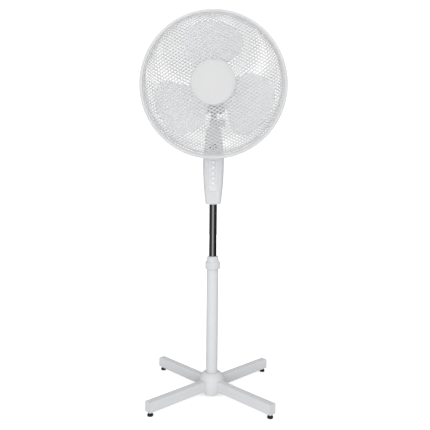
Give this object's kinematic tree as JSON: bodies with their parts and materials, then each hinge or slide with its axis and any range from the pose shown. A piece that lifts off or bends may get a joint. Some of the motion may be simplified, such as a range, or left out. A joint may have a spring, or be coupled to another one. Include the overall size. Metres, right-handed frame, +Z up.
{
  "type": "pedestal fan",
  "caption": "White pedestal fan: round mesh guard over a three-blade rotor, control box with a row of push buttons, chrome height-adjusting pole and a cross base on rubber feet.",
  "frame": {"origin": "on the floor under the pole's axis, at the middle of the cross base", "axes": "+Z up along the pole, the fan blows towards -Y, +X to the right seen from the front"},
  "size_m": [0.4399, 0.3918, 1.211],
  "materials": {
    "white_paint": "powder coat, satin",
    "white_plastic": "semi-gloss moulding",
    "button_plastic": "gloss",
    "rubber": "matt",
    "inner_plastic": "matt",
    "steel": "zinc plated",
    "chrome": "polished",
    "lens": "smoked",
    "bronze": "sintered",
    "cast_alloy": "as cast",
    "lamination": "ground steel sheets",
    "winding": "enamelled copper",
    "guard_mesh": "white coated",
    "badge": "satin",
    "blade_plastic": "satin, slightly translucent",
    "nylon": "natural nylon"
  },
  "bodies": {
    "stand": {"cross_tube_lower": "white_paint", "cross_tube_upper": "white_paint", "end_cap_1": "white_plastic", "end_cap_2": "white_plastic", "end_cap_3": "white_plastic", "end_cap_4": "white_plastic", "rubber_foot_1": "rubber", "rubber_foot_2": "rubber", "rubber_foot_3": "rubber", "rubber_foot_4": "rubber", "pole_socket": "inner_plastic", "base_fasteners": "steel", "base_cover": "white_plastic", "outer_pole": "white_paint", "pole_sleeve": "inner_plastic", "grip_collet": "inner_plastic"},
    "collar": {"height_collar": "white_plastic"},
    "stem": {"inner_pole": "chrome", "pole_guide": "inner_plastic", "box_front": "white_plastic", "box_back": "white_plastic", "button_panel": "white_plastic", "switch_block": "inner_plastic", "lamp_lens": "lens", "box_screws": "steel", "tilt_yoke": "white_plastic", "cable_gland": "inner_plastic"},
    "button_1": {"button_1": "button_plastic"},
    "button_2": {"button_2": "button_plastic"},
    "button_3": {"button_3": "button_plastic"},
    "button_4": {"button_4": "button_plastic"},
    "button_5": {"button_5": "button_plastic"},
    "tilt_knob": {"tilt_knob": "white_plastic"},
    "neck": {"neck_block": "white_plastic", "swivel_bush": "bronze", "swivel_screw": "steel"},
    "head": {"gearbox_case": "cast_alloy", "gearbox_lid": "cast_alloy", "swivel_pin": "steel", "stator_core": "lamination", "stator_windings": "winding", "motor_front_cover": "cast_alloy", "motor_rear_cover": "cast_alloy", "shaft_bushes": "bronze", "housing_rear": "white_plastic", "housing_front": "white_plastic", "guard_nut": "white_plastic", "rear_guard": "guard_mesh", "front_guard": "guard_mesh", "guard_ring": "white_plastic", "badge": "badge"},
    "rotor": {"rotor_shaft": "steel", "rotor_core": "lamination", "fan_blade": "blade_plastic", "spinner": "blade_plastic"},
    "oscillation_knob": {"oscillation_knob": "white_plastic"},
    "worm_wheel": {"worm_wheel": "nylon"},
    "clutch": {"clutch_shaft": "nylon"},
    "crank": {"crank_gear": "nylon"},
    "link": {"link_arm": "steel"}
  },
  "joints": [
    {"name": "height", "type": "slide", "parent": "stand", "child": "stem", "axis": [0, 0, 1], "range_m": [-0.16, 0.075]},
    {"name": "collar_turn", "type": "hinge", "parent": "stand", "child": "collar", "pos_m": [0, 0, 0.43], "axis": [0, 0, 1], "range_deg": [0, 300]},
    {"name": "press_1", "type": "slide", "parent": "stem", "child": "button_1", "axis": [0, 1, 0], "range_m": [0, 0.0035], "stiffness_N_per_m": 400},
    {"name": "press_2", "type": "slide", "parent": "stem", "child": "button_2", "axis": [0, 1, 0], "range_m": [0, 0.0035], "stiffness_N_per_m": 400},
    {"name": "press_3", "type": "slide", "parent": "stem", "child": "button_3", "axis": [0, 1, 0], "range_m": [0, 0.0035], "stiffness_N_per_m": 400},
    {"name": "press_4", "type": "slide", "parent": "stem", "child": "button_4", "axis": [0, 1, 0], "range_m": [0, 0.0035], "stiffness_N_per_m": 400},
    {"name": "press_5", "type": "slide", "parent": "stem", "child": "button_5", "axis": [0, 1, 0], "range_m": [0, 0.0035], "stiffness_N_per_m": 400},
    {"name": "tilt", "type": "hinge", "parent": "stem", "child": "neck", "pos_m": [0, 0, 0.885], "axis": [-1, 0, 0], "range_deg": [-15, 25]},
    {"name": "tilt_knob_turn", "type": "hinge", "parent": "stem", "child": "tilt_knob", "pos_m": [0.025, 0, 0.885], "axis": [1, 0, 0], "range_deg": [0, 180]},
    {"name": "oscillation", "type": "hinge", "parent": "neck", "child": "head", "pos_m": [0, 0, 0.92], "axis": [0, 0, 1], "range_deg": [-40, 40]},
    {"name": "fan_spin", "type": "hinge", "parent": "head", "child": "rotor", "pos_m": [0, -0.116, 0.991], "axis": [0, 1, 0], "continuous": true},
    {"name": "oscillation_knob_push", "type": "slide", "parent": "head", "child": "oscillation_knob", "axis": [0, 0, -1], "range_m": [0, 0.008]},
    {"name": "worm_wheel_turn", "type": "hinge", "parent": "head", "child": "worm_wheel", "pos_m": [0.014, 0.02103, 0.991], "axis": [0, 0, 1], "continuous": true},
    {"name": "clutch_turn", "type": "hinge", "parent": "head", "child": "clutch", "pos_m": [0.014, 0.02103, 0.94], "axis": [0, 0, 1], "range_deg": [-201, 201]},
    {"name": "crank_turn", "type": "hinge", "parent": "head", "child": "crank", "pos_m": [0, 0.038, 0.94], "axis": [0, 0, 1], "range_deg": [-50.5, 50.5]},
    {"name": "link_turn", "type": "hinge", "parent": "crank", "child": "link", "pos_m": [0.0128, 0.038, 0.9265], "axis": [0, 0, 1], "range_deg": [-50.5, 50.5]}
  ],
  "couplings": [
    {"joint": "worm_wheel_turn", "follows": "fan_spin", "ratio": 0.05},
    {"joint": "crank_turn", "follows": "oscillation", "ratio": -1.25},
    {"joint": "clutch_turn", "follows": "oscillation", "ratio": 5},
    {"joint": "link_turn", "follows": "oscillation", "ratio": 1.25}
  ]
}
